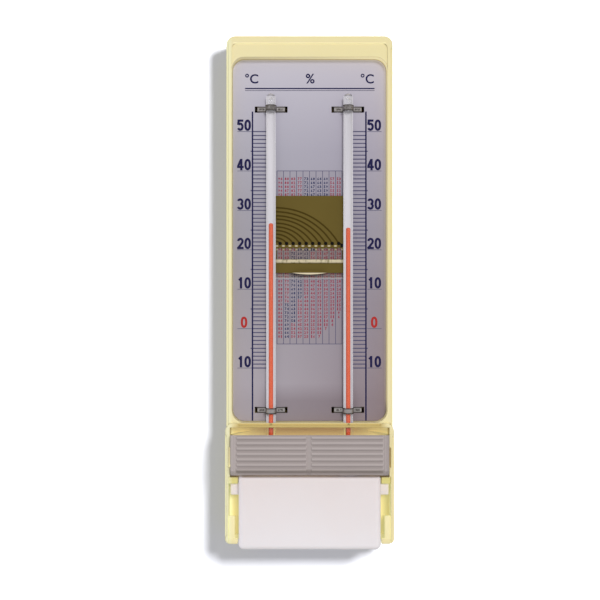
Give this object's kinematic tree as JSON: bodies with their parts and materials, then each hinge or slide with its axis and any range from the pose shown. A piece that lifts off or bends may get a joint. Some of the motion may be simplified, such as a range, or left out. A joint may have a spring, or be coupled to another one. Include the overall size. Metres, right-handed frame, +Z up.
{
  "type": "wet and dry bulb hygrometer",
  "caption": "Wall-hung wet and dry bulb hygrometer: twin tube thermometers on a scale plate with a sliding cursor, ribbed bulb cover and water bottle in a moulded case.",
  "frame": {"origin": "centre of the round entry of the hanging hole, on the flat back that lies against the wall", "axes": "+X to the right as the scale is read, +Y into the wall, +Z up"},
  "size_m": [0.0954, 0.0307, 0.2891],
  "materials": {
    "cream_plastic": "moulded, softly glossy",
    "scale_aluminium": "satin, printed",
    "clear_glass": "drawn glass",
    "opal_glass": "opal glass strip",
    "red_spirit": "dyed spirit",
    "bright_steel": "bright strip",
    "white_plastic": "moulded",
    "clear_plastic": "clear sheet",
    "gold_brass": "toned brass, printed",
    "grey_plastic": "moulded, ribbed",
    "milky_plastic": "blow moulded, translucent",
    "cotton": "woven cotton",
    "foam_tape": "double-sided tape"
  },
  "bodies": {
    "root": {"back_case": "cream_plastic", "scale_plate": "scale_aluminium", "plate_tape": "foam_tape", "dry_tube": "clear_glass", "dry_opal": "opal_glass", "dry_spirit": "red_spirit", "wet_tube": "clear_glass", "wet_opal": "opal_glass", "wet_spirit": "red_spirit", "dry_upper_clip": "bright_steel", "dry_lower_clip": "bright_steel", "wet_upper_clip": "bright_steel", "wet_lower_clip": "bright_steel", "tube_rests": "white_plastic", "wick": "cotton", "wick_tie": "cotton"},
    "cursor": {"cursor_carrier": "clear_plastic", "cursor_sheet": "gold_brass"},
    "cover": {"bulb_cover": "grey_plastic"},
    "bottle": {"water_bottle": "milky_plastic", "bottle_cap": "milky_plastic"}
  },
  "joints": [
    {"name": "cursor_slide", "type": "slide", "parent": "root", "child": "cursor", "axis": [0, 0, 1], "range_m": [-0.073, 0.047]},
    {"name": "cover_pull", "type": "slide", "parent": "root", "child": "cover", "axis": [0, -1, 0], "range_m": [0, 0.03]},
    {"name": "bottle_pull", "type": "slide", "parent": "root", "child": "bottle", "axis": [0, 0, -1], "range_m": [0, 0.06]}
  ]
}
